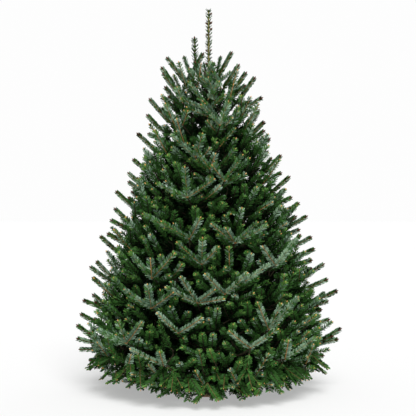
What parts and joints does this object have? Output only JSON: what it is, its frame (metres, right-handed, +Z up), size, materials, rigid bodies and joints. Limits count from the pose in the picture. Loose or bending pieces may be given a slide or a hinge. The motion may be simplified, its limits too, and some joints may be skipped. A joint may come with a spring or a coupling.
{
  "type": "christmas tree",
  "caption": "Cut Christmas tree: a dense, cone-shaped fir with a tall leading shoot, standing on a plain wooden cross stand.",
  "frame": {"origin": "on the floor under the middle of the cross stand, on the underside of the lower board", "axes": "+Z up along the trunk, -Y towards the front of the tree, +X to the right seen from the front"},
  "size_m": [1.3713, 1.3432, 2],
  "materials": {
    "needles": "waxy, blue-green needles",
    "bark": "rough brown bark",
    "stand_wood": "sawn softwood, unfinished"
  },
  "bodies": {
    "root": {"bough_lower_1": "bark", "bough_lower_2": "bark", "bough_lower_3": "bark", "bough_lower_4": "bark", "bough_lower_5": "bark", "bough_lower_6": "bark", "bough_lower_middle_1": "bark", "bough_lower_middle_2": "bark", "bough_lower_middle_3": "bark", "bough_lower_middle_4": "bark", "bough_lower_middle_5": "bark", "bough_skirt_1": "bark", "bough_skirt_2": "bark", "bough_skirt_3": "bark", "bough_skirt_4": "bark", "bough_skirt_5": "bark", "bough_skirt_6": "bark", "foliage_crown_1": "needles", "foliage_crown_2": "needles", "foliage_crown_3": "needles", "foliage_leader": "needles", "foliage_lower_1": "needles", "foliage_lower_2": "needles", "foliage_lower_3": "needles", "foliage_lower_4": "needles", "foliage_lower_5": "needles", "foliage_lower_6": "needles", "foliage_lower_middle_1": "needles", "foliage_lower_middle_2": "needles", "foliage_lower_middle_3": "needles", "foliage_lower_middle_4": "needles", "foliage_lower_middle_5": "needles", "foliage_middle_1": "needles", "foliage_middle_2": "needles", "foliage_middle_3": "needles", "foliage_middle_4": "needles", "foliage_shoulder_1": "needles", "foliage_shoulder_2": "needles", "foliage_shoulder_3": "needles", "foliage_skirt_1": "needles", "foliage_skirt_2": "needles", "foliage_skirt_3": "needles", "foliage_skirt_4": "needles", "foliage_skirt_5": "needles", "foliage_skirt_6": "needles", "foliage_upper_1": "needles", "foliage_upper_2": "needles", "foliage_upper_3": "needles", "foliage_upper_middle_1": "needles", "foliage_upper_middle_2": "needles", "foliage_upper_middle_3": "needles", "foliage_upper_middle_4": "needles", "stand_board_lower": "stand_wood", "stand_board_upper": "stand_wood", "stand_brace_1": "stand_wood", "stand_brace_2": "stand_wood", "stand_brace_3": "stand_wood", "stand_brace_4": "stand_wood", "trunk": "bark"}
  },
  "joints": []
}
